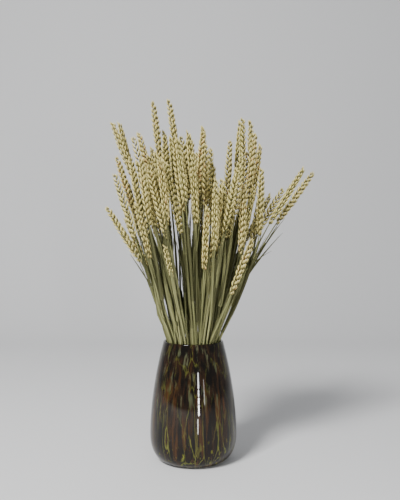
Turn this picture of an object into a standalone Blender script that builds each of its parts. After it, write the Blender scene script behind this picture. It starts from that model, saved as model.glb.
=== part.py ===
"""A glass vase of dried wheat: the vase and the stalks, each with its ear, that stand in it.

Metres, +Z up. The origin is the centre of the vase's flat foot, and the bunch's front faces -Y.
"""

import math

import bpy
import numpy as np

# Vase
VASE_HEIGHT = 0.1875
FOOT_RADIUS = 0.043
BELLY_RADIUS = 0.069
BELLY_HEIGHT = 0.042
RIM_RADIUS = 0.0475
WALL = 0.0035
FLOOR_THICKNESS = 0.010
BOWL_HEIGHT = 0.022
VASE_SIDES = 32

# Stem: the half-width at the foot, the neck, two heights above it and under the ear.
# Every third stalk keeps its dry leaf wrapped round it, which makes it broad and flat.
STEM_RADII = (0.0018, 0.0021, 0.0022, 0.0018, 0.0012)
WRAPPED_RADII = (0.0018, 0.0027, 0.0037, 0.0030, 0.0012)
WRAPPED_EVERY = 3
FOOT_GAP = 0.0004
NECK_LIMIT = RIM_RADIUS - WALL - 0.0004
FOOT_LIMIT = FOOT_RADIUS - 0.0010
FOOT_GATHER = 0.75
FOOT_SWING = 0.040
STRAIGHT_SHARE = 0.45
DIRECT_SHARE = 0.6
FOOT_TIE = 0.0009
TIED_BELOW = 0.150
FAN_HEIGHT = 0.062

# Ear: two rows of spikelets, which take turns along a zigzag core
EAR_LENGTH = 0.104
EAR_STEPS = 16
EAR_HALF_WIDTH = 0.0052
EAR_HALF_DEPTH = 0.0052
GROOVE_SHARE = 0.60
TERMINAL_SHARE = 0.08
SHOULDER_SHARE = 0.94
TOP_SWELL = 0.5
OVERHANG_STEPS = 0.75

# Packed ears, which fill the bunch behind and between the placed ones
PACKED_COUNT = 56
PAIR_COUNT = 34
CROWN_RADIUS = 0.109
CROWN_HEIGHT = 0.513
CROWN_DROP = 0.075
CROWN_TILT = 0.5
CROWN_SCATTER = 0.028
DIP_PLACE = 0.046
DIP_WIDTH = 0.018
DIP_DEPTH = 0.075
LEAN_SCATTER = 0.045
GOLDEN_ANGLE = math.radians(137.508)
FAN_SPREAD = 0.75
SEED = 11

# Room between stalks, and the steps that settle them apart
CLEARANCE = 0.0003
SETTLE_TURNS = 15
SETTLE_STEPS = 30
NEAR = 0.005
LEVEL_STEP = 0.006

# Ears that make the outline and the front: the tip in mm, the lean to the side in degrees, the length in mm
PLACED_EARS = (
    (-128, -20, 534, -23, 100),
    (-121, 12, 541, -15, 105),
    (-94, -45, 506, -13, 105),
    (-88, 0, 522, -18, 105),
    (-65, 5, 572, -8, 108),
    (-39, -8, 572, -8, 108),
    (-47, 22, 529, -8, 102),
    (-23, -12, 513, -13, 100),
    (-3, 15, 513, 4, 100),
    (15, -5, 531, -1, 105),
    (29, -25, 469, 2, 100),
    (-57, -42, 484, -6, 105),
    (-42, -62, 464, -13, 112),
    (77, 20, 545, 6, 105),
    (78, -12, 542, -1, 108),
    (59, 0, 508, 4, 105),
    (94, 30, 547, -1, 100),
    (98, -18, 516, 7, 105),
    (109, 12, 505, 9, 105),
    (106, -35, 459, 3, 105),
    (47, -60, 434, 5, 105),
    (128, 25, 425, 30, 98),
    (144, -5, 431, 32, 100),
    (175, -18, 462, 33, 106),
    (196, 18, 459, 37, 106),
    (77, -62, 432, 2, 108),
    (89, -75, 349, 21, 92),
    (25, -78, 399, 3, 98),
    (-135, -28, 400, -32, 106),
    (-122, -35, 451, -17, 106),
    (-123, 0, 482, -20, 100),
    (-84, -62, 468, -15, 105),
    (-66, -75, 451, -17, 108),
    (-42, -80, 342, -12, 55),
    (-108, -12, 384, -26, 88),
    (-86, -45, 405, -16, 90),
    (-100, -5, 452, -17, 100),
)


# Leaves: the stalk's number, the root's height, the reach to the leaf's tip and its width, all in mm,
# and the turn about its own line in degrees, at 90 for a blade that is flat to the front
LEAVES = (
    (25, 258, (77, -10, 103), 4.4, 60),
    (25, 288, (64, -10, 97), 3.6, 60),
    (24, 286, (46, -8, 45), 2.4, 60),
)
LEAF_STEPS = 5
LEAF_THICKNESS = 0.0009


def clear_scene():
    """Empties the file that the script starts in."""
    for thing in list(bpy.data.objects):
        bpy.data.objects.remove(thing)


def finish_material(name, colour, roughness):
    """A plain coat for the solids of one kind."""
    material = bpy.data.materials.new(name)
    material.use_nodes = True
    shader = material.node_tree.nodes["Principled BSDF"]
    shader.inputs["Base Color"].default_value = (*colour, 1.0)
    shader.inputs["Roughness"].default_value = roughness
    shader.inputs["Metallic"].default_value = 0.0
    return material


def add_object(name, points, faces, material):
    """One mesh object from its points and faces."""
    mesh = bpy.data.meshes.new(name)
    mesh.from_pydata([tuple(float(v) for v in p) for p in points], [], faces)
    mesh.materials.append(material)
    thing = bpy.data.objects.new(name, mesh)
    bpy.context.scene.collection.objects.link(thing)
    return thing


def outer_radius(z):
    """The vase's outside: a rounded heel up to the belly, then a long shoulder in to the rim."""
    if z < BELLY_HEIGHT:
        rise = 1 - z / BELLY_HEIGHT
        return FOOT_RADIUS + (BELLY_RADIUS - FOOT_RADIUS) * (1 - rise**2.2) ** (1 / 2.2)
    climb = (z - BELLY_HEIGHT) / (VASE_HEIGHT - BELLY_HEIGHT)
    return BELLY_RADIUS - (BELLY_RADIUS - RIM_RADIUS) * climb**1.8


def inner_radius(z):
    """The vase's inside: one wall in from the outside, and a shallow curve up from the floor."""
    if z < BOWL_HEIGHT:
        rise = (FLOOR_THICKNESS, FLOOR_THICKNESS + 0.003, BOWL_HEIGHT)
        return float(np.interp(z, rise, (FOOT_RADIUS, FOOT_RADIUS + 0.006, outer_radius(BOWL_HEIGHT) - WALL)))
    return outer_radius(z) - WALL


def vase_profile():
    """The turned outline from the foot's edge, up the outside, over the lip and down to the floor's edge."""
    heel = [BELLY_HEIGHT * (1 - math.cos(math.radians(a))) for a in (0, 20, 38, 56, 74)]
    shoulder = np.linspace(BELLY_HEIGHT, VASE_HEIGHT - WALL / 2, 7)
    outside = [(outer_radius(z), z) for z in [*heel, *shoulder]]
    lip = [(RIM_RADIUS - WALL * 0.3, VASE_HEIGHT), (RIM_RADIUS - WALL * 0.8, VASE_HEIGHT)]
    down = np.linspace(VASE_HEIGHT - WALL / 2, BELLY_HEIGHT, 5)
    floor = (BOWL_HEIGHT, FLOOR_THICKNESS + 0.003, FLOOR_THICKNESS)
    bowl = [(inner_radius(z), z) for z in [*down, *floor]]
    return outside + lip + bowl


def add_vase(material):
    """The hollow glass vase, turned from its profile, with a thick flat floor."""
    profile = vase_profile()
    turns = [math.tau * i / VASE_SIDES for i in range(VASE_SIDES)]
    points = [(r * math.cos(a), r * math.sin(a), z) for r, z in profile for a in turns]
    faces = []
    for ring in range(len(profile) - 1):
        low = ring * VASE_SIDES
        high = low + VASE_SIDES
        for i in range(VASE_SIDES):
            j = (i + 1) % VASE_SIDES
            faces.append((low + i, low + j, high + j, high + i))
    last = (len(profile) - 1) * VASE_SIDES
    faces.append(tuple(reversed(range(VASE_SIDES))))
    faces.append(tuple(range(last, last + VASE_SIDES)))
    vase = add_object("vase", points, faces, material)
    vase.data.shade_smooth()
    vase.data.set_sharp_from_angle(angle=math.radians(40))
    return vase


def placed_targets():
    """(tip, sideways slope, length) of the ears that make the outline and the front."""
    for x, y, z, lean, length in PLACED_EARS:
        yield np.array((x, y, z)) / 1000, math.tan(math.radians(lean)), length / 1000


def packed_targets(draw):
    """(tip, sideways slope, length) of the packed ears, on a sunflower spiral under a domed crown.

    The crown drops less towards the front than towards the back, and dips a little right of the middle.
    """
    for i in range(PACKED_COUNT):
        share = (i + 0.5) / PACKED_COUNT
        reach = CROWN_RADIUS * math.sqrt(share)
        turn = i * GOLDEN_ANGLE
        drop = CROWN_DROP * (1 + CROWN_TILT * math.sin(turn)) * share
        height = CROWN_HEIGHT - drop + draw.uniform(-CROWN_SCATTER, CROWN_SCATTER)
        height -= DIP_DEPTH * math.exp(-(((reach * math.cos(turn) - DIP_PLACE) / DIP_WIDTH) ** 2))
        tip = np.array((reach * math.cos(turn), reach * math.sin(turn), height))
        slope = FAN_SPREAD * tip[0] / (height - FAN_HEIGHT) + draw.normal(0, LEAN_SCATTER)
        yield tip, slope, EAR_LENGTH * draw.uniform(0.9, 1.06)


def stalk_knots(tip, slope, length):
    """Seven points up a stalk: foot, neck of the vase, two on the stem, then the ear's base, middle and tip.

    Most of a stem follows the ear's own line, so that stems cross in the neck and their feet swing past it.
    """
    depth_slope = FAN_SPREAD * tip[1] / (tip[2] - FAN_HEIGHT)
    rise = np.array((slope, depth_slope, 1.0))
    rise /= np.linalg.norm(rise)
    base = tip - length * rise
    straight = base - rise * (base[2] - VASE_HEIGHT) / rise[2]
    fanned = base * (VASE_HEIGHT - FAN_HEIGHT) / (base[2] - FAN_HEIGHT)
    neck = straight * STRAIGHT_SHARE + fanned * (1 - STRAIGHT_SHARE)
    neck *= min(1.0, (NECK_LIMIT - STEM_RADII[1]) / np.hypot(*neck[:2]))
    neck[2] = VASE_HEIGHT
    gap = base - neck
    foot = neck * FOOT_GATHER - gap / gap[2] * FOOT_SWING
    foot *= min(1.0, (FOOT_LIMIT - STEM_RADII[0]) / np.hypot(*foot[:2]))
    foot[2] = FLOOR_THICKNESS + FOOT_GAP
    leave = neck + gap * 0.3
    arrive = base - unit(rise * (1 - DIRECT_SHARE) + unit(gap) * DIRECT_SHARE) * np.linalg.norm(gap) * 0.33
    knots = [foot, neck]
    for t in (1 / 3, 2 / 3):
        knots.append(
            (1 - t) ** 3 * neck + 3 * (1 - t) ** 2 * t * leave + 3 * (1 - t) * t**2 * arrive + t**3 * base
        )
    return np.array([*knots, base, (base + tip) / 2, tip])


def is_wrapped(number):
    """Whether the stalk keeps its leaf."""
    return number % WRAPPED_EVERY == 1


def stalk_reach(knots, number):
    """How far each knot's section reaches sideways, more where the stalk leans."""
    ear_reach = (STEM_RADII[-1] + 0.0036, 0.0070, 0.0028)
    radii = WRAPPED_RADII if is_wrapped(number) else STEM_RADII
    reach = np.array([*radii[:-1], *ear_reach]) + CLEARANCE
    along = np.gradient(knots, axis=0)
    return reach * np.linalg.norm(along, axis=1) / along[:, 2]


def level_weights(heights, levels):
    """How much each knot counts at each level, zero above the tip."""
    weights = np.zeros((len(levels), len(heights)))
    for row, level in enumerate(levels):
        if level > heights[-1]:
            continue
        upper = int(np.clip(np.searchsorted(heights, level), 1, len(heights) - 1))
        share = (level - heights[upper - 1]) / (heights[upper] - heights[upper - 1])
        weights[row, upper - 1] = 1 - share
        weights[row, upper] = share
    return weights


def tie_feet(spots, pairs):
    """Keeps the feet of each pair so close that they grow together, each on its own stalk's side."""
    for first, second in pairs:
        middle = (spots[first, 0] + spots[second, 0]) / 2
        lean = FOOT_TIE * unit(spots[second, 1] - spots[first, 1])
        spots[first, 0] = middle - lean
        spots[second, 0] = middle + lean


def settle_apart(stalks, pairs):
    """Moves the knots sideways until no two stalks meet, the way stalks in a vase push each other aside.

    The two stalks of a pair share a foot, so they may meet inside the vase.
    """
    levels = np.arange(FLOOR_THICKNESS + FOOT_GAP, stalks[:, -1, 2].max(), LEVEL_STEP)
    weights = np.array([level_weights(knots[:, 2], levels) for knots in stalks])
    there = weights.sum(axis=2) > 0.5
    reaches = np.array([stalk_reach(knots, number) for number, knots in enumerate(stalks)])
    reach = np.einsum("slk,sk->sl", weights, reaches)
    limits = np.array([FOOT_LIMIT, NECK_LIMIT]) - reaches[:, :2]
    foot_of = np.arange(len(stalks))
    for pair in pairs:
        foot_of[pair] = pair[0]
    home = stalks[:, :, :2].copy()
    spots = home.copy()
    for turn in range(SETTLE_TURNS):
        at_level = weights @ spots
        first, second = np.triu_indices(len(stalks), 1)
        need = (reach[first] + reach[second]) * (there[first] & there[second])
        need[(foot_of[first] == foot_of[second])[:, None] & (levels < TIED_BELOW)] = 0
        distance = np.linalg.norm(at_level[first] - at_level[second], axis=2)
        near = ((distance < need + NEAR) & (need > 0)).any(axis=1)
        first, second, need = first[near], second[near], need[near]
        sign = np.zeros((len(stalks), len(first)))
        sign[first, range(len(first))] = 0.5
        sign[second, range(len(first))] = -0.5
        for _ in range(SETTLE_STEPS):
            at_level = weights @ spots
            apart = at_level[first] - at_level[second]
            distance = np.linalg.norm(apart, axis=2) + 1e-9
            overlap = np.clip(need - distance, 0, None)
            push = np.tensordot(sign, apart * (overlap / distance)[..., None], 1)
            pressed = (np.abs(push).sum(axis=2, keepdims=True) > 0).astype(float)
            spots += (weights.transpose(0, 2, 1) @ push) / (weights.transpose(0, 2, 1) @ pressed + 0.3)
            if turn < SETTLE_TURNS * 0.6:
                moved = spots - home
                moved[:, 1:-1] += 0.08 * (moved[:, :-2] + moved[:, 2:] - 2 * moved[:, 1:-1])
                spots = home + moved
            tie_feet(spots, pairs)
            out = np.linalg.norm(spots[:, :2], axis=2)
            spots[:, :2] *= np.minimum(1.0, limits / out)[..., None]
    print("largest overlap left, mm:", round(1000 * float(overlap.max()), 3))
    return np.concatenate([spots, stalks[:, :, 2:]], axis=2)


def nearest_pairs(stalks, count):
    """Pairs of stalks that stand closest together at the neck, the closest first."""
    first, second = np.triu_indices(len(stalks), 1)
    gaps = np.linalg.norm(stalks[first, 1] - stalks[second, 1], axis=1)
    pairs, taken = [], set()
    for n in np.argsort(gaps, kind="stable"):
        pair = [int(first[n]), int(second[n])]
        if len(pairs) < count and not taken.intersection(pair):
            pairs.append(pair)
            taken.update(pair)
    return pairs


def unit(vector):
    """The vector at length one."""
    return vector / np.linalg.norm(vector)


def section_axes(along, roll):
    """The side and front directions of a section across a stalk, turned by roll about it."""
    across = unit(np.cross(along, (0.0, 1.0, 0.0)))
    toward = np.cross(along, across)
    side = across * math.cos(roll) + toward * math.sin(roll)
    return side, np.cross(side, along)


def stalk_mesh(knots, roll, widths):
    """Points and faces of one closed stalk: a four-sided stem that opens into the ear's spikelets."""
    base, middle, tip = knots[4:]
    bend = middle - (base + tip) / 2

    def core(t):
        return base + (tip - base) * t + bend * 4 * t * (1 - t)

    def swell(t):
        return 0.62 + 0.38 * math.sin(math.pi * min(1.0, t / 0.9) ** 0.8)

    side, front = section_axes(unit(tip - base), roll)
    points = []
    for n, (thick, wide) in enumerate(zip(STEM_RADII, widths)):
        for reach in (front * thick, side * wide, -front * thick, -side * wide):
            points.append(knots[n] + reach * np.array((1.0, 1.0, 0.0 if n == 0 else 1.0)))
    faces = [(3, 2, 1, 0)]
    for ring in range(len(STEM_RADII) - 1):
        low = ring * 4
        faces += [(low + i, low + (i + 1) % 4, low + 4 + (i + 1) % 4, low + 4 + i) for i in range(4)]
    first = (len(STEM_RADII) - 1) * 4
    stem_left, stem_right = first + 1, first + 3

    # The groove down the front and the back, where the two rows meet
    step = (1 - TERMINAL_SHARE) / EAR_STEPS
    front_groove, back_groove = [first], [first + 2]
    for n in range(1, EAR_STEPS + 1):
        reach = EAR_HALF_DEPTH * GROOVE_SHARE * swell(n * step)
        for way, groove in ((front, front_groove), (-front, back_groove)):
            groove.append(len(points))
            points.append(core(n * step) + way * reach)

    # Spikelets: each spans two steps of the groove and ends in an edge that stands out past the next one
    for n in range(EAR_STEPS - 1):
        out = side if n % 2 == 0 else -side
        at = (n + 2 + OVERHANG_STEPS) * step
        edge = core(at) + out * EAR_HALF_WIDTH * swell(at)
        front_top, back_top = len(points), len(points) + 1
        half_edge = front * EAR_HALF_DEPTH * 0.9 * swell(at)
        points += [edge + half_edge, edge - half_edge]
        f, b = front_groove[n : n + 3], back_groove[n : n + 3]
        if n == 0:
            around = [(f[0], stem_left, front_top), (stem_left, back_top, front_top), (stem_left, b[0], back_top)]
        else:
            around = [(f[0], b[0], back_top, front_top)]
        around += [(f[1], f[0], front_top), (f[2], f[1], front_top)]
        around += [(b[0], b[1], back_top), (b[1], b[2], back_top)]
        around.append((f[2], front_top, back_top, b[2]))
        faces += around if n % 2 == 0 else [tuple(reversed(face)) for face in around]

    # The other row starts one step up, and the last spikelet closes the top
    faces += [
        (front_groove[0], front_groove[1], stem_right),
        (stem_right, front_groove[1], back_groove[1]),
        (stem_right, back_groove[1], back_groove[0]),
    ]
    shoulder, top = len(points), len(points) + 1
    out = side if (EAR_STEPS - 1) % 2 == 0 else -side
    points += [core(SHOULDER_SHARE) + out * EAR_HALF_WIDTH * TOP_SWELL, tip]
    f, b = front_groove[-2:], back_groove[-2:]
    faces += [(shoulder, b[0], f[0]), (shoulder, f[0], f[1]), (top, shoulder, f[1])]
    faces += [(shoulder, b[1], b[0]), (shoulder, top, b[1]), (b[1], top, f[1])]
    return points, faces


def leaf_mesh(knots, height, reach, width, turn):
    """Points and faces of one narrow blade: it leaves along the stem and bends out to its pointed tip."""
    height = height / 1000
    root = np.array([np.interp(height, knots[:, 2], knots[:, axis]) for axis in range(3)])
    above = np.array([np.interp(height + 0.02, knots[:, 2], knots[:, axis]) for axis in range(3)])
    tip = root + np.array(reach) / 1000
    bend = root + unit(above - root) * np.linalg.norm(tip - root) * 0.45
    flat = unit(np.cross(tip - root, (0.0, 0.0, 1.0)))
    turn = math.radians(turn)
    wide = flat * math.cos(turn) + np.cross(unit(tip - root), flat) * math.sin(turn)
    points = []
    for n in range(LEAF_STEPS):
        t = n / LEAF_STEPS
        centre = (1 - t) ** 2 * root + 2 * t * (1 - t) * bend + t**2 * tip
        along = unit((1 - t) * (bend - root) + t * (tip - bend))
        across = wide * width / 2000 * (0.55 + 0.45 * math.sin(math.pi * min(1.0, t + 0.25)))
        normal = np.cross(across, along)
        normal *= LEAF_THICKNESS / 2 / np.linalg.norm(normal)
        points += [centre + across, centre + normal, centre - across, centre - normal]
    points.append(tip)
    faces = [(0, 1, 2, 3)]
    for ring in range(LEAF_STEPS - 1):
        low = ring * 4
        faces += [(low + (i + 1) % 4, low + i, low + 4 + i, low + 4 + (i + 1) % 4) for i in range(4)]
    last = (LEAF_STEPS - 1) * 4
    faces += [(last + (i + 1) % 4, last + i, last + 4) for i in range(4)]
    return points, faces


def fuse(name, pieces):
    """Joins pieces that overlap into one body."""
    body, *others = pieces
    body.name = name
    if not others:
        return body
    tools = bpy.data.collections.new(name + "_pieces")
    for piece in others:
        tools.objects.link(piece)
    union = body.modifiers.new("join", "BOOLEAN")
    union.operation = "UNION"
    union.operand_type = "COLLECTION"
    union.collection = tools
    union.solver = "MANIFOLD"
    graph = bpy.context.evaluated_depsgraph_get()
    joined = bpy.data.meshes.new_from_object(body.evaluated_get(graph))
    body.modifiers.clear()
    body.data = joined
    for piece in others:
        bpy.data.objects.remove(piece)
    bpy.data.collections.remove(tools)
    return body


def add_wheat(material):
    """Every stalk of the bunch, on its own or, where two stand closest, grown together at the foot."""
    draw = np.random.default_rng(SEED)
    targets = [*placed_targets(), *packed_targets(draw)]
    stalks = np.array([stalk_knots(*target) for target in targets])
    stalks = settle_apart(stalks, [])
    pairs = nearest_pairs(stalks, PAIR_COUNT)
    stalks = settle_apart(stalks, pairs)
    rolls = draw.uniform(0, math.pi, len(stalks))
    paired = {i for pair in pairs for i in pair}
    alone = [[i] for i in range(len(stalks)) if i not in paired]
    for number, group in enumerate(alone + pairs, start=1):
        pieces = []
        for i in group:
            widths = WRAPPED_RADII if is_wrapped(i) else STEM_RADII
            pieces.append(add_object(f"stalk_{i}", *stalk_mesh(stalks[i], rolls[i], widths), material))
            for leaf in LEAVES:
                if leaf[0] == i + 1:
                    pieces.append(add_object(f"leaf_{i}", *leaf_mesh(stalks[i], *leaf[1:]), material))
        kind = "wheat_stalk" if len(group) == 1 else "wheat_pair"
        fuse(f"{kind}_{number:02d}", pieces)


def main():
    """Builds the vase and its wheat."""
    clear_scene()
    add_vase(finish_material("mottled_glass", (0.07, 0.045, 0.02), 0.08))
    add_wheat(finish_material("dry_wheat", (0.52, 0.46, 0.27), 0.7))


main()
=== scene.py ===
import math

import bpy
import numpy as np
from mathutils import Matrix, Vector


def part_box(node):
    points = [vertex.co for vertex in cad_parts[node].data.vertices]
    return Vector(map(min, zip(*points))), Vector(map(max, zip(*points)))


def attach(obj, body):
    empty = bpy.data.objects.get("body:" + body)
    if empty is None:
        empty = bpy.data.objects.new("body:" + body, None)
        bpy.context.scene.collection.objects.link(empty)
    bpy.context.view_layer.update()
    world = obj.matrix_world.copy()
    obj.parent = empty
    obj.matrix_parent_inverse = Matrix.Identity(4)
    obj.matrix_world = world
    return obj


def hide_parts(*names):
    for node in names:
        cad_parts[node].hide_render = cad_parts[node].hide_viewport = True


# Dried wheat in a mottled glass vase. Metres, +Z up, the front of the bunch faces -Y.
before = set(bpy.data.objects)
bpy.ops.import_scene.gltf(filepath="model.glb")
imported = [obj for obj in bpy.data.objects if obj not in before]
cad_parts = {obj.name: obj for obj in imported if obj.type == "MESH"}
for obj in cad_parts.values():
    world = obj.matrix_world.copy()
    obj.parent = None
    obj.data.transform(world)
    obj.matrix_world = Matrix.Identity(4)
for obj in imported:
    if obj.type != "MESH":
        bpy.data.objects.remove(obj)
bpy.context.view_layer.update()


# The vase: a rounded heel up to the belly, then a long shoulder in to the rim
vase = {
    "height": 0.1875,
    "foot": 0.043,  # radii of the foot, the belly and the rim
    "belly": 0.069,
    "rim": 0.0475,
    "bellyHeight": 0.042,
    "heelPower": 2.2,
    "shoulderPower": 1.8,
    "wall": 0.0035,
    "floor": 0.010,
    "bowl": 0.022,  # where the inside starts to round into its floor
    "bowlInset": 0.004,  # how much smaller the flat floor is than the foot
    "underside": 0.020,  # radius of the one ring in the flat underside
    "rings": {"heel": 26, "shoulder": 40, "lip": 11, "inside": 24, "lower": 8, "bowl": 10},
    "turns": 128,
}

# The bunch's layout: each ear's tip in mm, its lean to the side in degrees and its length in mm
placedEars = (
    (-128, -20, 534, -23, 100),
    (-121, 12, 541, -15, 105),
    (-94, -45, 506, -13, 105),
    (-88, 0, 522, -18, 105),
    (-65, 5, 572, -8, 108),
    (-39, -8, 572, -8, 108),
    (-47, 22, 529, -8, 102),
    (-23, -12, 513, -13, 100),
    (-3, 15, 513, 4, 100),
    (15, -5, 531, -1, 105),
    (29, -25, 469, 2, 100),
    (-57, -42, 484, -6, 105),
    (-42, -62, 464, -13, 112),
    (77, 20, 545, 6, 105),
    (78, -12, 542, -1, 108),
    (59, 0, 508, 4, 105),
    (94, 30, 547, -1, 100),
    (98, -18, 516, 7, 105),
    (109, 12, 505, 9, 105),
    (106, -35, 459, 3, 105),
    (47, -60, 434, 5, 105),
    (128, 25, 425, 30, 98),
    (144, -5, 431, 32, 100),
    (175, -18, 462, 33, 106),
    (196, 18, 459, 37, 106),
    (77, -62, 432, 2, 108),
    (89, -75, 349, 21, 92),
    (25, -78, 399, 3, 98),
    (-135, -28, 400, -32, 106),
    (-122, -35, 451, -17, 106),
    (-123, 0, 482, -20, 100),
    (-84, -62, 468, -15, 105),
    (-66, -75, 451, -17, 108),
    (-42, -80, 342, -12, 55),
    (-108, -12, 384, -26, 88),
    (-86, -45, 405, -16, 90),
    (-100, -5, 452, -17, 100),
)

# The ears behind and between them: a flat crown, lower towards its edge, with a dip at one side
packed = {
    "count": 56,
    "pairs": 34,
    "radius": 0.109,
    "height": 0.513,
    "drop": 0.075,
    "tilt": 0.5,  # how much lower the back of the crown's edge is than its front
    "scatter": 0.028,
    "dipPlace": 0.046,
    "dipWidth": 0.018,
    "dip": 0.075,
    "lean": 0.045,
    "turn": math.radians(137.508),
    "spread": 0.75,
    "earLength": 0.104,
    "shortest": 0.9,  # lengths as shares of earLength
    "longest": 1.06,
    "seed": 11,
}

# Half-widths go by the foot, the neck, two heights above it and the ear's base
stem = {
    "plain": (0.0018, 0.0021, 0.0022, 0.0018, 0.0012),
    "wrapped": (0.0018, 0.0027, 0.0037, 0.0030, 0.0012),
    "wrappedEvery": 3,
    "earBase": 0.0036,  # what the ear adds at its base, and its half-width higher up
    "earMiddle": 0.0070,
    "earTip": 0.0028,
    "footGap": 0.0004,
    "neckLimit": 0.0436,
    "footLimit": 0.042,
    "gather": 0.75,  # the foot's place as a share of the neck's
    "swing": 0.040,  # how far the foot carries on the line of the stem
    "straight": 0.45,  # share of the ear's own line at the neck, the rest is a fan
    "fanHeight": 0.062,  # where the fan's lines meet on the axis
    "direct": 0.6,  # how straight the stem comes up to the ear
    "leave": 0.3,  # lengths of the curve's two arms
    "arrive": 0.33,
    "tie": 0.0009,  # half the distance between the feet of a pair
    "tiedBelow": 0.150,
}

# How the stalks are moved apart: distances in metres, then the rounds
settle = {
    "room": 0.0003,  # kept free between two stalks
    "near": 0.005,  # closer than this they are looked at
    "level": 0.006,  # step from level to level
    "turns": 15,
    "steps": 30,
    "ease": 0.3,
    "smooth": 0.08,  # how fast bends even out, in the first turns only
    "smoothTurns": 9,
}


def unit(vector):
    return vector / np.linalg.norm(vector)


def outerRadius(z):
    # below the belly a superellipse, above it the belly less a power of the climb
    z = np.asarray(z, float)
    belly, power = vase["bellyHeight"], vase["heelPower"]
    rise = np.clip(1 - z / belly, 0, 1)
    heel = vase["foot"] + (vase["belly"] - vase["foot"]) * (1 - rise**power) ** (1 / power)
    climb = np.clip((z - belly) / (vase["height"] - belly), 0, 1)
    shoulder = vase["belly"] - (vase["belly"] - vase["rim"]) * climb ** vase["shoulderPower"]
    return np.where(z < belly, heel, shoulder)


def stalkTargets(draw):
    # tip, sideways slope and length: the placed ears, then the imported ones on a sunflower
    # spiral, whose height falls with the square of the reach and by a bell curve at the dip
    for x, y, z, lean, length in placedEars:
        yield np.array((x, y, z)) / 1000, math.tan(math.radians(lean)), length / 1000
    for i in range(packed["count"]):
        share = (i + 0.5) / packed["count"]
        reach = packed["radius"] * math.sqrt(share)
        turn = i * packed["turn"]
        drop = packed["drop"] * (1 + packed["tilt"] * math.sin(turn)) * share
        height = packed["height"] - drop + draw.uniform(-packed["scatter"], packed["scatter"])
        across = (reach * math.cos(turn) - packed["dipPlace"]) / packed["dipWidth"]
        height -= packed["dip"] * math.exp(-(across**2))
        tip = np.array((reach * math.cos(turn), reach * math.sin(turn), height))
        slope = packed["spread"] * tip[0] / (height - stem["fanHeight"])
        slope += draw.normal(0, packed["lean"])
        length = packed["earLength"] * draw.uniform(packed["shortest"], packed["longest"])
        yield tip, slope, length


def stalkKnots(tip, slope, length):
    # foot, neck, two points on a cubic curve from the neck to the ear, then the ear's base,
    # middle and tip; the neck lies between the ear's own line and a fan out of the vase
    depthSlope = packed["spread"] * tip[1] / (tip[2] - stem["fanHeight"])
    rise = np.array((slope, depthSlope, 1.0))
    rise /= np.linalg.norm(rise)
    base = tip - length * rise
    straight = base - rise * (base[2] - vase["height"]) / rise[2]
    fanned = base * (vase["height"] - stem["fanHeight"]) / (base[2] - stem["fanHeight"])
    neck = straight * stem["straight"] + fanned * (1 - stem["straight"])
    neck *= min(1.0, (stem["neckLimit"] - stem["plain"][1]) / np.hypot(*neck[:2]))
    neck[2] = vase["height"]
    gap = base - neck
    foot = neck * stem["gather"] - gap / gap[2] * stem["swing"]
    foot *= min(1.0, (stem["footLimit"] - stem["plain"][0]) / np.hypot(*foot[:2]))
    foot[2] = vase["floor"] + stem["footGap"]
    leave = neck + gap * stem["leave"]
    heading = unit(rise * (1 - stem["direct"]) + unit(gap) * stem["direct"])
    arrive = base - heading * np.linalg.norm(gap) * stem["arrive"]
    knots = [foot, neck]
    for t in (1 / 3, 2 / 3):
        rest = 1 - t
        lower = rest**3 * neck + 3 * rest**2 * t * leave
        knots.append(lower + 3 * rest * t**2 * arrive + t**3 * base)
    return np.array([*knots, base, (base + tip) / 2, tip])


def isWrapped(number):
    # one stalk in three keeps a broad sheath
    return number % stem["wrappedEvery"] == 1


def stalkReach(knots, number):
    # half-width at each knot in a level plane: wider where the stalk leans
    radii = stem["wrapped"] if isWrapped(number) else stem["plain"]
    earReach = (stem["plain"][-1] + stem["earBase"], stem["earMiddle"], stem["earTip"])
    reach = np.array([*radii[:-1], *earReach]) + settle["room"]
    along = np.gradient(knots, axis=0)
    return reach * np.linalg.norm(along, axis=1) / along[:, 2]


def levelWeights(heights, levels):
    # how much each knot counts at each level, by straight lines between the knots
    weights = np.zeros((len(levels), len(heights)))
    for row, level in enumerate(levels):
        if level > heights[-1]:
            continue
        upper = int(np.clip(np.searchsorted(heights, level), 1, len(heights) - 1))
        share = (level - heights[upper - 1]) / (heights[upper] - heights[upper - 1])
        weights[row, upper - 1] = 1 - share
        weights[row, upper] = share
    return weights


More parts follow.
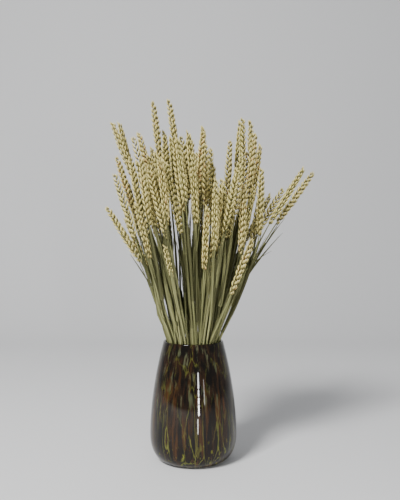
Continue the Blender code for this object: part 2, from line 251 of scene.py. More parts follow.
def settleApart(stalks, pairs):
    # the knots move sideways until no two stalks meet; a pair's two may meet inside the vase
    levels = np.arange(vase["floor"] + stem["footGap"], stalks[:, -1, 2].max(), settle["level"])
    weights = np.array([levelWeights(knots[:, 2], levels) for knots in stalks])
    back = weights.transpose(0, 2, 1)
    there = weights.sum(axis=2) > 0.5
    reaches = np.array([stalkReach(knots, number) for number, knots in enumerate(stalks)])
    reach = np.einsum("slk,sk->sl", weights, reaches)
    limits = np.array([stem["footLimit"], stem["neckLimit"]]) - reaches[:, :2]
    footOf = np.arange(len(stalks))
    for pair in pairs:
        footOf[pair] = pair[0]
    home = stalks[:, :, :2].copy()
    spots = home.copy()
    for turn in range(settle["turns"]):
        atLevel = weights @ spots
        first, second = np.triu_indices(len(stalks), 1)
        need = (reach[first] + reach[second]) * (there[first] & there[second])
        need[(footOf[first] == footOf[second])[:, None] & (levels < stem["tiedBelow"])] = 0
        distance = np.linalg.norm(atLevel[first] - atLevel[second], axis=2)
        near = ((distance < need + settle["near"]) & (need > 0)).any(axis=1)
        first, second, need = first[near], second[near], need[near]
        sign = np.zeros((len(stalks), len(first)))
        sign[first, range(len(first))] = 0.5
        sign[second, range(len(first))] = -0.5
        for _ in range(settle["steps"]):
            atLevel = weights @ spots
            apart = atLevel[first] - atLevel[second]
            distance = np.linalg.norm(apart, axis=2) + 1e-9
            overlap = np.clip(need - distance, 0, None)
            push = np.tensordot(sign, apart * (overlap / distance)[..., None], 1)
            pressed = (np.abs(push).sum(axis=2, keepdims=True) > 0).astype(float)
            spots += (back @ push) / (back @ pressed + settle["ease"])
            if turn < settle["smoothTurns"]:
                moved = spots - home
                bent = moved[:, :-2] + moved[:, 2:] - 2 * moved[:, 1:-1]
                moved[:, 1:-1] += settle["smooth"] * bent
                spots = home + moved
            for one, other in pairs:
                middle = (spots[one, 0] + spots[other, 0]) / 2
                lean = stem["tie"] * unit(spots[other, 1] - spots[one, 1])
                spots[one, 0] = middle - lean
                spots[other, 0] = middle + lean
            out = np.linalg.norm(spots[:, :2], axis=2)
            spots[:, :2] *= np.minimum(1.0, limits / out)[..., None]
    return np.concatenate([spots, stalks[:, :, 2:]], axis=2)


def nearestPairs(stalks, count):
    # the two stalks nearest at the neck, then the next two, and no stalk twice
    first, second = np.triu_indices(len(stalks), 1)
    gaps = np.linalg.norm(stalks[first, 1] - stalks[second, 1], axis=1)
    pairs, taken = [], set()
    for n in np.argsort(gaps, kind="stable"):
        pair = [int(first[n]), int(second[n])]
        if len(pairs) < count and not taken.intersection(pair):
            pairs.append(pair)
            taken.update(pair)
    return pairs


def sectionAxes(along, roll):
    # two directions square to a line, turned round it by the roll
    across = unit(np.cross(along, (0.0, 1.0, 0.0)))
    toward = np.cross(along, across)
    side = across * math.cos(roll) + toward * math.sin(roll)
    return side, np.cross(side, along)


def layOut():
    # every stalk's knots and roll, and the stalks of each node: single ones first, then pairs
    draw = np.random.default_rng(packed["seed"])
    stalks = np.array([stalkKnots(*target) for target in stalkTargets(draw)])
    stalks = settleApart(stalks, [])
    pairs = nearestPairs(stalks, packed["pairs"])
    stalks = settleApart(stalks, pairs)
    rolls = draw.uniform(0, math.pi, len(stalks))
    paired = {i for pair in pairs for i in pair}
    alone = [[i] for i in range(len(stalks)) if i not in paired]
    return stalks, rolls, alone + pairs


def newMaterial(name):
    material = bpy.data.materials.new(name)
    material.use_nodes = True
    tree = material.node_tree
    return material, tree, tree.nodes["Principled BSDF"]


def addNode(tree, kind, **settings):
    # a setting is an input's value where there is an input of that name
    node = tree.nodes.new(kind)
    for key, value in settings.items():
        if key in node.inputs:
            node.inputs[key].default_value = value
        else:
            setattr(node, key, value)
    return node


def fill(tree, socket, value):
    # value is a socket to link, a colour or a number
    if isinstance(value, bpy.types.NodeSocket):
        tree.links.new(value, socket)
    elif isinstance(value, tuple):
        socket.default_value = (*value, 1.0)
    else:
        socket.default_value = value


def attribute(tree, name):
    return addNode(tree, "ShaderNodeAttribute", attribute_name=name).outputs["Fac"]


def blendColours(tree, share, low, high):
    mix = addNode(tree, "ShaderNodeMix", data_type="RGBA")
    fill(tree, mix.inputs["A"], low)
    fill(tree, mix.inputs["B"], high)
    fill(tree, mix.inputs["Factor"], share)
    return mix.outputs["Result"]


def spread(tree, value, low, high, newLow=0.0, newHigh=1.0):
    # low to high becomes newLow to newHigh, and stays there on both sides
    node = addNode(tree, "ShaderNodeMapRange", clamp=True)
    ends = {"From Min": low, "From Max": high, "To Min": newLow, "To Max": newHigh}
    for name, number in ends.items():
        node.inputs[name].default_value = number
    tree.links.new(value, node.inputs["Value"])
    return node.outputs["Result"]


def times(tree, first, second):
    node = addNode(tree, "ShaderNodeMath", operation="MULTIPLY")
    fill(tree, node.inputs[0], first)
    fill(tree, node.inputs[1], second)
    return node.outputs[0]


def mapped(tree, place, scale):
    # the same place, scaled along each axis
    mapping = addNode(tree, "ShaderNodeMapping", Scale=scale)
    tree.links.new(place, mapping.inputs["Vector"])
    return mapping.outputs["Vector"]


def noiseNode(tree, vector, size=1.0, detail=3.0):
    noise = addNode(tree, "ShaderNodeTexNoise", Scale=size, Detail=detail)
    tree.links.new(vector, noise.inputs["Vector"])
    return noise


def noiseBand(tree, vector, band, size=1.0, detail=3.0):
    # where the noise rises through the band
    return spread(tree, noiseNode(tree, vector, size, detail).outputs["Fac"], *band)


def paint(tree, shader, colour, coat):
    tree.links.new(colour, shader.inputs["Base Color"])
    shader.inputs["Roughness"].default_value = coat["roughness"]
    shader.inputs["Specular IOR Level"].default_value = coat["specular"]


# Bands run from where a colour sets in to where it is full, then from its first share to its last
earCoat = {
    "husk": (0.44, 0.355, 0.105),
    # a painted highlight, laid towards the crest of each husk
    "pale": (0.84, 0.725, 0.30),
    "olive": (0.31, 0.285, 0.08),
    "tan": (0.46, 0.25, 0.075),
    # painted shade, laid at the root of each husk where the husks crowd together
    "deep": (0.055, 0.045, 0.010),
    "huskBand": (0.15, 0.85),
    "tanBand": (0.93, 0.97),
    "paleBand": (0.40, 0.82, 0.0, 0.80),
    "paintedShadeBand": (0.10, 0.58, 0.95, 0.0),
    "roughness": 0.55,
    "specular": 0.35,
}


def earMaterial():
    # each husk has its tone from olive to straw, a few are tan; painted shade at the root, where
    # the husks crowd together, and a painted highlight towards the crest
    material, tree, shader = newMaterial("wheatEar")
    along = attribute(tree, "along")
    tone = attribute(tree, "tone")
    coat = earCoat
    colour = blendColours(tree, spread(tree, tone, *coat["huskBand"]), coat["olive"], coat["husk"])
    colour = blendColours(tree, spread(tree, tone, *coat["tanBand"]), colour, coat["tan"])
    # painted highlight towards each husk's crest
    colour = blendColours(tree, spread(tree, along, *coat["paleBand"]), colour, coat["pale"])
    # painted shade at each husk's root
    colour = blendColours(tree, spread(tree, along, *coat["paintedShadeBand"]), colour, coat["deep"])
    paint(tree, shader, colour, coat)
    return material


strawCoat = {
    "olive": (0.082, 0.082, 0.030),
    "sheath": (0.30, 0.30, 0.125),
    "green": (0.220, 0.225, 0.088),
    "pale": (0.33, 0.325, 0.145),
    "golden": (0.36, 0.27, 0.090),
    # the stripes' dark: partly the straw's own lines, partly painted shade of gaps between stems
    "deep": (0.030, 0.029, 0.009),
    "paleBand": (0.1, 0.9),
    "goldenBand": (0.955, 0.975),
    "sheathBand": (0.25, 0.95),
    "stripeBand": (0.40, 0.60),
    "stripeScale": (7.0, 4.0, 1.0),
    "stripeDetail": 2.0,
    "stripeShare": 0.7,
    "roughness": 0.65,
    "specular": 0.25,
}


def strawMaterial():
    # bare lengths from green to pale with a few golden, sheaths from olive to straw, and
    # fine dark stripes along both, partly the straw's own lines and partly painted shade of
    # the gaps between stems
    material, tree, shader = newMaterial("wheatStraw")
    tone = attribute(tree, "tone")
    inSheath = attribute(tree, "along")
    coat = strawCoat
    chart = addNode(tree, "ShaderNodeUVMap", uv_map="UVMap").outputs["UV"]
    drawn = mapped(tree, chart, coat["stripeScale"])
    stripe = noiseBand(tree, drawn, coat["stripeBand"], detail=coat["stripeDetail"])
    bare = blendColours(tree, spread(tree, tone, *coat["paleBand"]), coat["green"], coat["pale"])
    bare = blendColours(tree, spread(tree, tone, *coat["goldenBand"]), bare, coat["golden"])
    wrap = spread(tree, tone, *coat["sheathBand"])
    wrap = blendColours(tree, wrap, coat["olive"], coat["sheath"])
    colour = blendColours(tree, inSheath, bare, wrap)
    # dark stripes: partly the straw's own lines, partly painted shade of gaps between stems
    colour = blendColours(tree, times(tree, stripe, coat["stripeShare"]), colour, coat["deep"])
    paint(tree, shader, colour, coat)
    return material


# Each space is a scale, the size of the noise that bends it and how far; heights are in metres
glassCoat = {
    "dark": (0.0030, 0.0020, 0.0012),
    "brown": (0.020, 0.0095, 0.0040),
    "glow": (0.056, 0.0225, 0.0055),
    "faint": (0.062, 0.068, 0.036),
    "vein": (0.110, 0.118, 0.020),
    "fleck": (0.17, 0.180, 0.020),
    "patchSpace": ((84.0, 84.0, 11.0), 1.1, (1.2, 1.2, 1.0)),
    "streakSpace": ((210.0, 210.0, 15.0), 0.8, (0.9, 0.9, 0.9)),
    "threadSpace": ((170.0, 170.0, 8.0), 0.9, (1.0, 1.0, 0.8)),
    "fleckSpace": ((260.0, 260.0, 110.0), 0.8, (0.8, 0.8, 0.8)),
    "veinBand": (0.004, 0.052, 1.0, 0.0),
    "brokenBand": (0.42, 0.58),
    "brokenSize": 0.8,
    "veinHeights": (0.03, 0.11, 1.0, 0.40),
    "streakBand": (0.44, 0.68),
    "glowBand": (0.50, 0.66),
    "glowSize": 0.6,
    "glowHeights": (0.18, 0.11),
    "glowShare": 0.75,
    "threadBand": (0.58, 0.68),
    "threadHeights": (0.05, 0.11),
    "threadShare": 0.7,
    "fleckBand": (0.62, 0.70),
    "fleckHeights": (0.018, 0.060, 0.8, 0.0),
    "roughness": 0.035,
    "specular": 0.32,
    "index": 1.5,
}


def stretched(tree, place, scale, size, amount):
    # the object's own coordinates, drawn out upwards and bent by noise
    drawn = mapped(tree, place, scale)
    noise = noiseNode(tree, drawn, size)
    shift = addNode(tree, "ShaderNodeVectorMath", operation="MULTIPLY_ADD")
    tree.links.new(noise.outputs["Color"], shift.inputs[0])
    shift.inputs[1].default_value = amount
    tree.links.new(drawn, shift.inputs[2])
    return shift.outputs[0]


def glassMaterial():
    # brown streaks that glow in the middle heights, faint threads higher up, thin broken veins
    # along the edges of drawn-out cells, and flecks low down
    material, tree, shader = newMaterial("mottledGlass")
    coat = glassCoat
    place = addNode(tree, "ShaderNodeTexCoord").outputs["Object"]
    height = addNode(tree, "ShaderNodeSeparateXYZ")
    tree.links.new(place, height.inputs[0])
    z = height.outputs["Z"]

    patches = stretched(tree, place, *coat["patchSpace"])
    cells = addNode(tree, "ShaderNodeTexVoronoi", feature="DISTANCE_TO_EDGE", Scale=1.0)
    tree.links.new(patches, cells.inputs["Vector"])
    line = spread(tree, cells.outputs["Distance"], *coat["veinBand"])
    broken = noiseBand(tree, patches, coat["brokenBand"], coat["brokenSize"])
    vein = times(tree, times(tree, line, broken), spread(tree, z, *coat["veinHeights"]))

    streaks = stretched(tree, place, *coat["streakSpace"])
    streak = noiseBand(tree, streaks, coat["streakBand"])
    glow = noiseBand(tree, streaks, coat["glowBand"], coat["glowSize"])
    glow = times(tree, glow, spread(tree, z, *coat["glowHeights"]))

    threads = stretched(tree, place, *coat["threadSpace"])
    thread = noiseBand(tree, threads, coat["threadBand"])
    thread = times(tree, thread, spread(tree, z, *coat["threadHeights"]))

    flecks = stretched(tree, place, *coat["fleckSpace"])
    fleck = noiseBand(tree, flecks, coat["fleckBand"])
    fleck = times(tree, fleck, spread(tree, z, *coat["fleckHeights"]))

    colour = blendColours(tree, streak, coat["dark"], coat["brown"])
    colour = blendColours(tree, times(tree, glow, coat["glowShare"]), colour, coat["glow"])
    colour = blendColours(tree, times(tree, thread, coat["threadShare"]), colour, coat["faint"])
    colour = blendColours(tree, vein, colour, coat["vein"])
    colour = blendColours(tree, fleck, colour, coat["fleck"])
    paint(tree, shader, colour, coat)
    shader.inputs["IOR"].default_value = coat["index"]
    return material


def addPiece(name, points, faces, materials, faceMaterial=None, values=None, uv=None):
    # one smooth mesh; faces is an array of triangles or quads, or a list of such arrays
    groups = faces if isinstance(faces, list) else [faces]
    mesh = bpy.data.meshes.new(name)
    loops = np.concatenate([g.ravel() for g in groups]).astype(np.int32)
    sizes = np.concatenate([np.full(len(g), g.shape[1]) for g in groups]).astype(np.int32)
    starts = np.concatenate([[0], np.cumsum(sizes)[:-1]]).astype(np.int32)
    mesh.vertices.add(len(points))
    mesh.vertices.foreach_set("co", np.asarray(points, np.float32).ravel())
    mesh.loops.add(len(loops))
    mesh.loops.foreach_set("vertex_index", loops)
    mesh.polygons.add(len(sizes))
    mesh.polygons.foreach_set("loop_start", starts)
    for material in materials:
        mesh.materials.append(material)
    if faceMaterial is not None:
        mesh.polygons.foreach_set("material_index", np.asarray(faceMaterial, np.int32))
    mesh.update(calc_edges=True)
    for key, numbers in (values or {}).items():
        layer = mesh.attributes.new(key, "FLOAT", "POINT")
        layer.data.foreach_set("value", np.asarray(numbers, np.float32))
    if uv is not None:
        layer = mesh.uv_layers.new(name="UVMap")
        layer.data.foreach_set("uv", np.asarray(uv, np.float32)[loops].ravel())
    mesh.polygons.foreach_set("use_smooth", np.ones(len(sizes), bool))
    mesh.validate()
    piece = bpy.data.objects.new(name, mesh)
    bpy.context.scene.collection.objects.link(piece)
    return piece


def gridFaces(rows, columns):
    # quads between rows of a tube that is closed round its columns
    row = np.arange(rows - 1)[:, None] * columns
    here = row + np.arange(columns)
    after = row + (np.arange(columns) + 1) % columns
    return np.stack([here, after, after + columns, here + columns], -1).reshape(-1, 4)


def capFaces(start, columns, centre, flip):
    # triangles from one row of a tube to a point
    here = start + np.arange(columns)
    after = start + (np.arange(columns) + 1) % columns
    middle = np.full(columns, centre)
    return np.stack([after, here, middle] if flip else [here, after, middle], -1)


def tubeFaces(rows, columns):
    # triangles of a tube that closes to a point at each end; the two points follow its rows
    quads = gridFaces(rows, columns)
    count = rows * columns
    first = capFaces(0, columns, count, True)
    last = capFaces(count - columns, columns, count + 1, False)
    return np.concatenate([quads[:, [0, 1, 2]], quads[:, [0, 2, 3]], first, last])


husk = {
    "rings": (0.10, 0.32, 0.60, 0.84),
    "sides": 7,
    "fullest": 0.72,  # a power under 1 sets the fullest place nearer the root
    "blunt": 0.8,
    "keel": 0.35,
    "keelPower": 6,
    "back": 0.55,  # depth of the side that faces the core
}


def huskShape(root, tip, width, depth, facing, bulge):
    # t runs from root to tip and a round the section
    # centre line: root + (tip - root) t + facing * bulge * 4 t (1 - t)
    # half-width: width times the sine of pi t^fullest, to the power blunt; half-depth has the
    # same shape, with a keel on the facing side
    t = np.array(husk["rings"])[:, None]
    a = math.pi / 2 + np.arange(husk["sides"]) * math.tau / husk["sides"]
    along = unit(tip - root)
    out = unit(facing - along * (facing @ along))
    across = np.cross(along, out)
    swell = np.sin(math.pi * t ** husk["fullest"]) ** husk["blunt"]
    lift = np.sin(a)
    keel = 1.0 + husk["keel"] * np.maximum(lift, 0) ** husk["keelPower"]
    thick = depth * swell * np.where(lift > 0, lift * keel, lift * husk["back"])
    broad = width * swell * np.cos(a)
    centre = root + (tip - root) * t + out * bulge * 4 * t * (1 - t)
    body = centre[:, None] + broad[..., None] * across + thick[..., None] * out
    points = np.concatenate([body.reshape(-1, 3), [root], [tip]])
    share = np.concatenate([np.repeat(t[:, 0], husk["sides"]), [0.0], [1.0]])
    return points, share


# One spikelet in mm: across is its fan, out is away from the ear's core, up is along the ear.
# Each row is root and tip (across, out, up), half-width, half-depth, facing (across, out), bulge
spikeletHusks = (
    ((-0.8, 0.9, 0.0), (-3.8, 4.1, 9.8), 1.50, 1.45, (-0.60, 1.0), 0.75),
    ((0.8, 0.9, 0.8), (3.7, 4.2, 10.9), 1.50, 1.45, (0.60, 1.0), 0.75),
    ((0.0, 1.9, 2.4), (0.2, 4.9, 12.6), 1.30, 1.30, (0.0, 1.0), 0.40),
    ((-1.3, 0.6, -0.8), (-4.6, 2.5, 7.8), 1.45, 1.00, (-1.0, 0.40), 0.75),
    ((1.3, 0.6, -0.4), (4.6, 2.5, 8.3), 1.45, 1.00, (1.0, 0.40), 0.75),
)
spikelet = {
    "kinds": 8,
    "jitter": 0.42,
    "gap": 0.0039,
    "reach": 0.0126,
    "topRoom": 0.010,
    "share": (0.0, 0.13, 0.50, 0.74, 0.90, 0.97),  # places up the ear, and the sizes there
    "size": (0.68, 0.95, 1.0, 0.88, 0.68, 0.56),
    "lengths": (0.055, 0.098),  # a short and a full ear, and the sizes of their spikelets
    "lengthSizes": (0.72, 1.0),
    "toneSpan": 0.75,
    "toneStart": 0.14,
    "earTone": (-0.28, 0.22),
    "toneJitter": 0.06,
    "seed": 23,
}


def spikeletKinds(draw):
    # several spikelets that differ a little: points, share along each husk and a tone for each
    kinds, shares, tones = [], [], []
    for _ in range(spikelet["kinds"]):
        points, share, tone = [], [], []
        for root, tip, width, depth, facing, bulge in spikeletHusks:
            ends = np.array(root), np.array(tip) + draw.normal(0, spikelet["jitter"], 3)
            body, t = huskShape(*ends, width, depth, np.array((*facing, 0.0)), bulge)
            points.append(body)
            share.append(t)
            tone.append(np.full(len(t), draw.uniform()))
        kinds.append(np.concatenate(points) / 1000)
        shares.append(np.concatenate(share))
        tones.append(np.concatenate(tone))
    rings, sides = len(husk["rings"]), husk["sides"]
    each = rings * sides + 2
    faces = [tubeFaces(rings, sides) + n * each for n in range(len(spikeletHusks))]
    return np.array(kinds), np.array(shares), np.array(tones), np.concatenate(faces)


def earMesh(knots, roll, kinds, draw):
    # spikelets take turns left and right up a bent core, full size over most of it and smaller
    # at its foot and tip, and the last one closes the top, turned a quarter
    base, middle, tip = knots[4:]
    bend = middle - (base + tip) / 2
    length = np.linalg.norm(tip - base)
    side, front = sectionAxes(unit(tip - base), roll)
    count = int(round((length - spikelet["topRoom"]) / spikelet["gap"]))
    t = np.linspace(0.0, 1 - spikelet["reach"] * spikelet["size"][-1] / length, count)[:, None]
    core = base + (tip - base) * t + bend * 4 * t * (1 - t)
    along = tip - base + bend * 4 * (1 - 2 * t)
    along /= np.linalg.norm(along, axis=1, keepdims=True)
    turn = np.where(np.arange(count) % 2 == 0, 1.0, -1.0)[:, None]
    out = side * turn
    across = front * turn
    out[-1], across[-1] = front, -side
    size = np.interp(t, spikelet["share"], spikelet["size"])
    size = size * np.interp(length, spikelet["lengths"], spikelet["lengthSizes"])
    points, shares, tones, faces = kinds
    kind = draw.integers(0, len(points), count)
    flip = draw.choice((-1.0, 1.0), count)
    local = points[kind].copy()
    local[flip < 0, :, 0] *= -1
    local *= size[:, :, None]
    spots = core[:, None] + local[..., :1] * across[:, None] + local[..., 1:2] * out[:, None]
    spots = spots + local[..., 2:] * along[:, None]
    spots = spots.reshape(-1, 3)
    handed = np.einsum("ij,ij->i", np.cross(across, out), along) * flip
    tris = faces[None] + (np.arange(count) * points.shape[1])[:, None, None]
    tris[handed < 0] = tris[handed < 0][:, :, ::-1]
    tone = tones[kind] * spikelet["toneSpan"] + spikelet["toneStart"]
    tone = tone + draw.uniform(*spikelet["earTone"])
    tone = np.clip(tone + draw.normal(0, spikelet["toneJitter"], (count, 1)), 0, 1)
    return spots, tris.reshape(-1, 3), shares[kind].ravel(), tone.ravel(), np.zeros((len(spots), 2))


# A stem from its foot up: bare straw, a knuckle, the sheath above it and bare straw to the ear
straw = {
    "sides": 8,
    "rings": 40,
    "knuckle": 1.12,  # girths of the knuckle and of a bare length, where a sheath's is 1
    "bare": 0.72,
    "oval": 1.05,  # the most that a bare length is broader than deep
    "knuckleHeight": (0.195, 0.30),
    "knuckleMarks": (-0.004, -0.001, 0.001, 0.005),  # where rings are added round each
    "knuckleSpan": 0.0022,
    "sheathLength": (0.09, 0.17),
    "collarMarks": (-0.0008, 0.0008),
    "collarRoom": 0.03,
    "intoEar": 0.003,
    "chartUp": 4,  # the stripes' scale up the stem, and their shift from stalk to stalk
    "chartShift": 3.7,
}


def smoothPath(knots, heights):
    # a cubic through the knots by height, with slopes averaged from each knot's neighbours
    z = knots[:, 2]
    slope = np.gradient(knots[:, :2], z, axis=0)
    upper = np.clip(np.searchsorted(z, heights), 1, len(z) - 1)
    low = upper - 1
    span = (z[upper] - z[low])[:, None]
    s = ((heights - z[low])[:, None]) / span
    one, two = knots[low, :2], knots[upper, :2]
    curve = (
        one * (1 + 2 * s) * (1 - s) ** 2
        + two * s**2 * (3 - 2 * s)
        + slope[low] * span * s * (1 - s) ** 2
        - slope[upper] * span * s**2 * (1 - s)
    )
    return np.column_stack([curve, heights])


def stemMesh(knots, roll, number, draw):
    # an oval section carried up the smooth path: its half-widths follow the knots' times the
    # girth, which a bell curve raises at the knuckle
    wide = np.array(stem["wrapped"] if isWrapped(number) else stem["plain"])
    thick = np.array(stem["plain"])
    bottom, top = knots[0, 2], knots[4, 2]
    knuckle = draw.uniform(*straw["knuckleHeight"])
    collar = min(top - straw["collarRoom"], knuckle + draw.uniform(*straw["sheathLength"]))
    marks = [knuckle + step for step in straw["knuckleMarks"]]
    marks += [collar + step for step in straw["collarMarks"]]
    even = np.linspace(bottom, top + straw["intoEar"], straw["rings"])
    heights = np.sort(np.concatenate([even, marks]))
    path = smoothPath(knots, heights)
    along = np.gradient(path, axis=0)
    along /= np.linalg.norm(along, axis=1, keepdims=True)
    side, _ = sectionAxes(unit(knots[6] - knots[4]), roll)
    front = np.cross(side, along)
    front /= np.linalg.norm(front, axis=1, keepdims=True)
    across = np.cross(along, front)
    inSheath = ((heights > knuckle) & (heights < collar)).astype(float)
    knob = np.exp(-(((heights - knuckle) / straw["knuckleSpan"]) ** 2))
    girth = straw["bare"] + (1 - straw["bare"]) * inSheath + (straw["knuckle"] - 1) * knob
    broad = np.interp(heights, knots[:5, 2], wide) * np.where(inSheath > 0, girth, 1.0)
    slim = np.interp(heights, knots[:5, 2], thick) * girth
    broad = np.where(inSheath > 0, broad, np.minimum(broad, slim * straw["oval"]))
    sides = straw["sides"]
    a = np.arange(sides) * math.tau / sides
    ring = broad[:, None, None] * np.cos(a)[None, :, None] * across[:, None]
    ring = ring + slim[:, None, None] * np.sin(a)[None, :, None] * front[:, None]
    ring[0, :, 2] = 0  # the foot is cut level
    body = path[:, None] + ring
    points = np.concatenate([body.reshape(-1, 3), path[:1], path[-1:]])
    sheath = np.concatenate([np.repeat(inSheath, sides), [0, 0]])
    tone = np.full(len(points), draw.uniform())
    # u goes across the section, folded so that no seam shows, and v up the stem
    u = np.concatenate([np.tile(np.abs(a / math.pi - 1), len(heights)), [0, 0]])
    u = u + number * straw["chartShift"]
    v = np.concatenate([np.repeat(heights, sides), [bottom, top]]) * straw["chartUp"]
    return points, tubeFaces(len(heights), sides), sheath, tone, np.column_stack([u, v])


# The stalk's number, the root's height, the reach to the tip and the width in mm, and the turn
# in degrees
leaves = (
    (25, 258, (77, -10, 103), 4.4, 60),
    (25, 288, (64, -10, 97), 3.6, 60),
    (24, 286, (46, -8, 45), 2.4, 60),
)
blade = {
    "steps": 26,
    "thickness": 0.0007,
    "crease": 0.18,
    "above": 0.02,  # where the stem's own direction is read, over the root
    "bend": 0.45,
    "end": 0.985,
    "narrow": 0.55,  # width at the root as a share, and where the blade is widest
    "wideFrom": 0.25,
    "tipPower": 6,
    "tone": 0.4,
    "chartAcross": 0.3,
    "chartUp": 4,
    "chartShift": 31,
    # the section: place across, rise by the crease, and side of the skin
    "section": (
        (1.0, 1.0, 0.35),
        (0.5, 0.45, 1.0),
        (0.0, 0.0, 1.0),
        (-0.5, 0.45, 1.0),
        (-1.0, 1.0, 0.35),
        (-0.5, 0.45, -1.0),
        (0.0, 0.0, -1.0),
        (0.5, 0.45, -1.0),
    ),
}


def signedVolume(points, faces):
    # a sixth of the sum over the triangles of a . (b x c); below zero when they point inwards
    a, b, c = (points[faces[:, n]] for n in range(3))
    return float(np.einsum("ij,ij->i", a, np.cross(b, c)).sum() / 6)


def bladeMesh(centre, wide, half, tone):
    # a ribbon along the centre line; its section is a shallow V, closed underneath
    along = np.gradient(centre, axis=0)
    along /= np.linalg.norm(along, axis=1, keepdims=True)
    normal = np.cross(wide, along)
    normal /= np.linalg.norm(normal, axis=1, keepdims=True)
    across = np.cross(along, normal)
    lift = half * blade["crease"] * 2
    skin = blade["thickness"] / 2
    rings = [
        centre + across * half * x + normal * (lift * y + skin * s) for x, y, s in blade["section"]
    ]
    body = np.stack(rings, axis=1)
    tip = centre[-1] + along[-1] * half[-1]
    points = np.concatenate([body.reshape(-1, 3), centre[:1], [tip]])
    rows, columns = body.shape[:2]
    faces = tubeFaces(rows, columns)
    if signedVolume(points, faces) < 0:
        faces = faces[:, ::-1]
    length = np.linalg.norm(centre[-1] - centre[0]) * blade["chartUp"]
    sideways = [blade["chartAcross"] * x for x, _, _ in blade["section"]]
    u = np.concatenate([np.tile(sideways, rows), [0, 0]]) + tone * blade["chartShift"]
    v = np.concatenate([np.repeat(np.linspace(0, length, rows), columns), [0, length]])
    ones = np.ones(len(points))
    return points, faces, ones, ones * tone, np.column_stack([u, v])


def leafMesh(knots, height, reach, width, turn):
    # a quadratic curve from the stem out to the tip, which starts along the stem
    height = height / 1000
    levels = (height, height + blade["above"])
    root, above = np.column_stack([np.interp(levels, knots[:, 2], knots[:, n]) for n in range(3)])
    span = np.array(reach) / 1000
    tip = root + span
    bend = root + unit(above - root) * np.linalg.norm(span) * blade["bend"]
    flat = unit(np.cross(span, (0.0, 0.0, 1.0)))
    turn = math.radians(turn)
    wide = flat * math.cos(turn) + np.cross(unit(span), flat) * math.sin(turn)
    t = np.linspace(0, blade["end"], blade["steps"])[:, None]
    centre = (1 - t) ** 2 * root + 2 * t * (1 - t) * bend + t**2 * tip
    swell = np.sin(math.pi * np.minimum(1.0, t + blade["wideFrom"]))
    half = width / 2000 * (blade["narrow"] + (1 - blade["narrow"]) * swell)
    half = half * (1 - t ** blade["tipPower"])
    return bladeMesh(centre, np.broadcast_to(wide, centre.shape), half, blade["tone"])


# Dry strips of sheath: long ones start anywhere up the stem, stubs stand up at the rim
strip = {
    "steps": 18,
    "each": 5,
    "share": 0.8,
    "start": (0.195, 0.29),
    "rise": (0.05, 0.19),
    "pastEar": 0.015,
    "stub": 0.25,
    "stubStart": (0.178, 0.190),
    "stubRise": (0.022, 0.055),
    "off": 0.0012,
    "drift": (0.0005, 0.012),
    "driftPower": 1.6,
    "fullDrift": 0.1,  # strips shorter than this drift less
    "twist": 0.8,
    "width": (0.0014, 0.0048),
    "narrow": 0.7,  # width at the ends as a share
    "tipPower": 8,
    "tipShare": 0.9,
}


def stripMesh(knots, draw):
    # starts at the stem, drifts off it with a power of the rise and turns as it goes up
    if draw.uniform() < strip["stub"]:
        start = draw.uniform(*strip["stubStart"])
        rise = draw.uniform(*strip["stubRise"])
    else:
        start = draw.uniform(*strip["start"])
        rise = min(draw.uniform(*strip["rise"]), knots[4, 2] + strip["pastEar"] - start)
    t = np.linspace(0, 1, strip["steps"])[:, None]
    path = smoothPath(knots, start + rise * t[:, 0])
    turn = draw.uniform(0, math.tau)
    away = np.array((math.cos(turn), math.sin(turn), 0.0))
    drift = min(1.0, rise / strip["fullDrift"]) * draw.uniform(*strip["drift"])
    centre = path + away * (strip["off"] + drift * t ** strip["driftPower"])
    spin = turn + math.pi / 2 + draw.uniform(-strip["twist"], strip["twist"]) * t[:, 0]
    wide = np.column_stack([np.cos(spin), np.sin(spin), np.zeros(len(spin))])
    half = draw.uniform(*strip["width"]) / 2
    half = half * (strip["narrow"] + (1 - strip["narrow"]) * np.sin(math.pi * t))
    half = half * (1 - t ** strip["tipPower"] * strip["tipShare"])
    return bladeMesh(centre, wide, half, draw.uniform(0.0, 1.0))


def stalkParts(number, knots, roll, kinds, draw):
    # all that is on one stalk: a material's place, then points, faces, along, tone and uv
    yield 0, *earMesh(knots, roll, kinds, draw)
    yield 1, *stemMesh(knots, roll, number, draw)
    for _ in range(strip["each"]):
        if draw.uniform() < strip["share"]:
            yield 1, *stripMesh(knots, draw)
    for leafOn, *leaf in leaves:
        if leafOn == number + 1:
            yield 1, *leafMesh(knots, *leaf)


def stalkPieces(stalks, rolls, groups, materials):
    # one piece for each node, with the parts of its one or two stalks
    draw = np.random.default_rng(spikelet["seed"])
    kinds = spikeletKinds(draw)
    total, furthest = 0, 0.0
    for number, group in enumerate(groups, start=1):
        kind = "wheat_stalk" if len(group) == 1 else "wheat_pair"
        node = f"{kind}_{number:02d}"
        parts = [p for i in group for p in stalkParts(i, stalks[i], rolls[i], kinds, draw)]
        places, points, faces, along, tone, uv = zip(*parts)
        starts = np.cumsum([0, *(len(p) for p in points[:-1])])
        points = np.concatenate(points)
        slots = np.repeat(places, [len(f) for f in faces])
        faces = np.concatenate([f + start for f, start in zip(faces, starts)])
        values = {"along": np.concatenate(along), "tone": np.concatenate(tone)}
        piece = addPiece(
            node + "_look", points, faces, materials, slots, values, np.concatenate(uv)
        )
        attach(piece, "root")
        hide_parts(node)
        total += len(faces)
        low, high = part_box(node)
        past = max(np.abs(points.min(0) - low).max(), np.abs(points.max(0) - high).max())
        furthest = max(furthest, past * 1000)
    print(f"stalks: {len(groups)} pieces, {total} triangles, boxes within {furthest:.1f} mm")


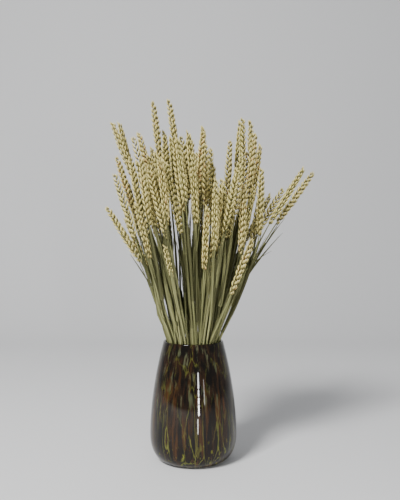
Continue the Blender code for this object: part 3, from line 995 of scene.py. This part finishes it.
def vaseProfile():
    # radius and height up the outside, over a half-round lip, down the inside and a quarter
    # round into the floor
    wall, rings = vase["wall"], vase["rings"]
    belly, edge = vase["bellyHeight"], vase["height"] - wall / 2
    heel = belly * (1 - np.cos(np.linspace(0.0, math.pi / 2, rings["heel"])[:-1]))
    up = np.concatenate([heel, np.linspace(belly, edge, rings["shoulder"])])
    outside = np.column_stack([outerRadius(up), up])
    a = np.linspace(0, math.pi, rings["lip"])[1:-1]
    lipRadius = float(outerRadius(edge)) - wall / 2
    lip = np.column_stack([lipRadius + np.cos(a) * wall / 2, edge + np.sin(a) * wall / 2])
    lower = np.linspace(belly, vase["bowl"], rings["lower"])[1:]
    down = np.concatenate([np.linspace(edge, belly, rings["inside"]), lower])
    inside = np.column_stack([outerRadius(down) - wall, down])
    b = np.linspace(0, math.pi / 2, rings["bowl"])[1:]
    flat = vase["foot"] - vase["bowlInset"]
    bowlRadius = float(outerRadius(vase["bowl"])) - wall
    bowlDepth = vase["bowl"] - vase["floor"]
    bowl = np.column_stack(
        [flat + (bowlRadius - flat) * np.cos(b), vase["bowl"] - bowlDepth * np.sin(b)]
    )
    return np.concatenate([[(vase["underside"], 0.0)], outside, lip, inside, bowl])


def vasePiece(material):
    # the profile turned round the upright axis, with a point under the foot and one on the floor
    profile = vaseProfile()
    turns = np.arange(vase["turns"]) * math.tau / vase["turns"]
    x = profile[:, :1] * np.cos(turns)
    y = profile[:, :1] * np.sin(turns)
    z = np.broadcast_to(profile[:, 1:], x.shape)
    body = np.stack([x, y, z], -1).reshape(-1, 3)
    points = np.concatenate([body, [(0.0, 0.0, 0.0), (0.0, 0.0, vase["floor"])]])
    quads = gridFaces(len(profile), vase["turns"])
    under = capFaces(0, vase["turns"], len(body), True)
    within = capFaces(len(body) - vase["turns"], vase["turns"], len(body) + 1, False)
    caps = np.concatenate([under, within])
    piece = addPiece("vase_look", points, [quads, caps], [material])
    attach(piece, "root")
    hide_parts("vase")
    print("vase:", len(quads) * 2 + len(caps), "triangles")


studio = {
    "floor": (0.72, 0.72, 0.72),
    "floorRoughness": 0.9,
    "floorFront": -4.0,
    "floorBack": 1.2,
    "halfWidth": 5.0,
    "curve": 0.8,
    "curveRings": 24,
    "wallTop": 4.0,
    "world": (0.80, 0.82, 0.86),
    "worldStrength": 0.42,
    "keySpot": (-1.1, -1.7, 2.1),
    "keyTarget": (0.0, 0.0, 0.3),
    "keySize": (0.7, 0.7),
    "keyPower": 122,
    "keyBeam": 180,
    "windowBeam": 40,
    "cameraSpot": (0.0107, -0.971, 0.332),
    "lens": 43.7,
    "sensor": 36.0,
}

# Strips of window light in front of the vase: across, forward, width, lowest, highest and power
windows = (
    (0.31, -1.16, 0.07, 0.005, 0.10, 0.12),
    (0.31, -1.16, 0.07, 0.112, 0.165, 0.07),
    (0.31, -1.16, 0.05, 0.176, 0.235, 0.05),
    (0.31, -1.16, 0.08, 0.245, 0.38, 0.13),
    (0.064, -0.32, 0.012, 0.003, 0.055, 0.006),
    (0.61, -1.03, 0.045, 0.09, 0.31, 0.022),
)


def addStage():
    # a floor that curves up into a plain backdrop behind
    back, curve = studio["floorBack"], studio["curve"]
    t = np.linspace(0, math.pi / 2, studio["curveRings"])
    y = np.concatenate([[studio["floorFront"], back], back + np.sin(t) * curve, [back + curve]])
    z = np.concatenate([[0.0, 0.0], curve - np.cos(t) * curve, [studio["wallTop"]]])
    left = np.column_stack([np.full(len(y), -studio["halfWidth"]), y, z])
    right = left * (-1.0, 1.0, 1.0)
    n = np.arange(len(y) - 1)
    quads = np.column_stack([n, n + len(y), n + len(y) + 1, n + 1])
    material, tree, shader = newMaterial("backdrop")
    fill(tree, shader.inputs["Base Color"], studio["floor"])
    shader.inputs["Roughness"].default_value = studio["floorRoughness"]
    floor = addPiece("floor", np.concatenate([left, right]), quads, [material])


def addWorld():
    world = bpy.data.worlds.new("studio")
    world.use_nodes = True
    background = world.node_tree.nodes["Background"]
    fill(world.node_tree, background.inputs["Color"], studio["world"])
    background.inputs["Strength"].default_value = studio["worldStrength"]
    bpy.context.scene.world = world


def addLight(name, spot, target, size, power, beam):
    # a rectangle of light at the spot that faces the target
    light = bpy.data.lights.new(name, "AREA")
    light.shape = "RECTANGLE"
    light.size, light.size_y = size
    light.energy = power
    light.spread = math.radians(beam)
    thing = bpy.data.objects.new(name, light)
    bpy.context.scene.collection.objects.link(thing)
    x, y, z = np.array(spot) - np.array(target)
    thing.location = spot
    thing.rotation_euler = (math.atan2(math.hypot(x, y), z), 0.0, math.atan2(x, -y))


def addCamera():
    # level, straight along +Y
    camera = bpy.data.cameras.new("camera")
    camera.lens = studio["lens"]
    camera.sensor_width = studio["sensor"]
    thing = bpy.data.objects.new("camera", camera)
    bpy.context.scene.collection.objects.link(thing)
    thing.location = studio["cameraSpot"]
    thing.rotation_euler = (math.pi / 2, 0.0, 0.0)
    bpy.context.scene.camera = thing


stalks, rolls, groups = layOut()
print("layout:", len(stalks), "stalks in", len(groups), "nodes")
vasePiece(glassMaterial())
stalkPieces(stalks, rolls, groups, [earMaterial(), strawMaterial()])

addStage()
addWorld()
key = [studio[name] for name in ("keySpot", "keyTarget", "keySize", "keyPower", "keyBeam")]
addLight("key", *key)
for x, y, width, low, high, power in windows:
    middle = (low + high) / 2
    size = (width, high - low)
    addLight("window", (x, y, middle), (0, 0, middle), size, power, studio["windowBeam"])
addCamera()
print("stage, lights and camera set")
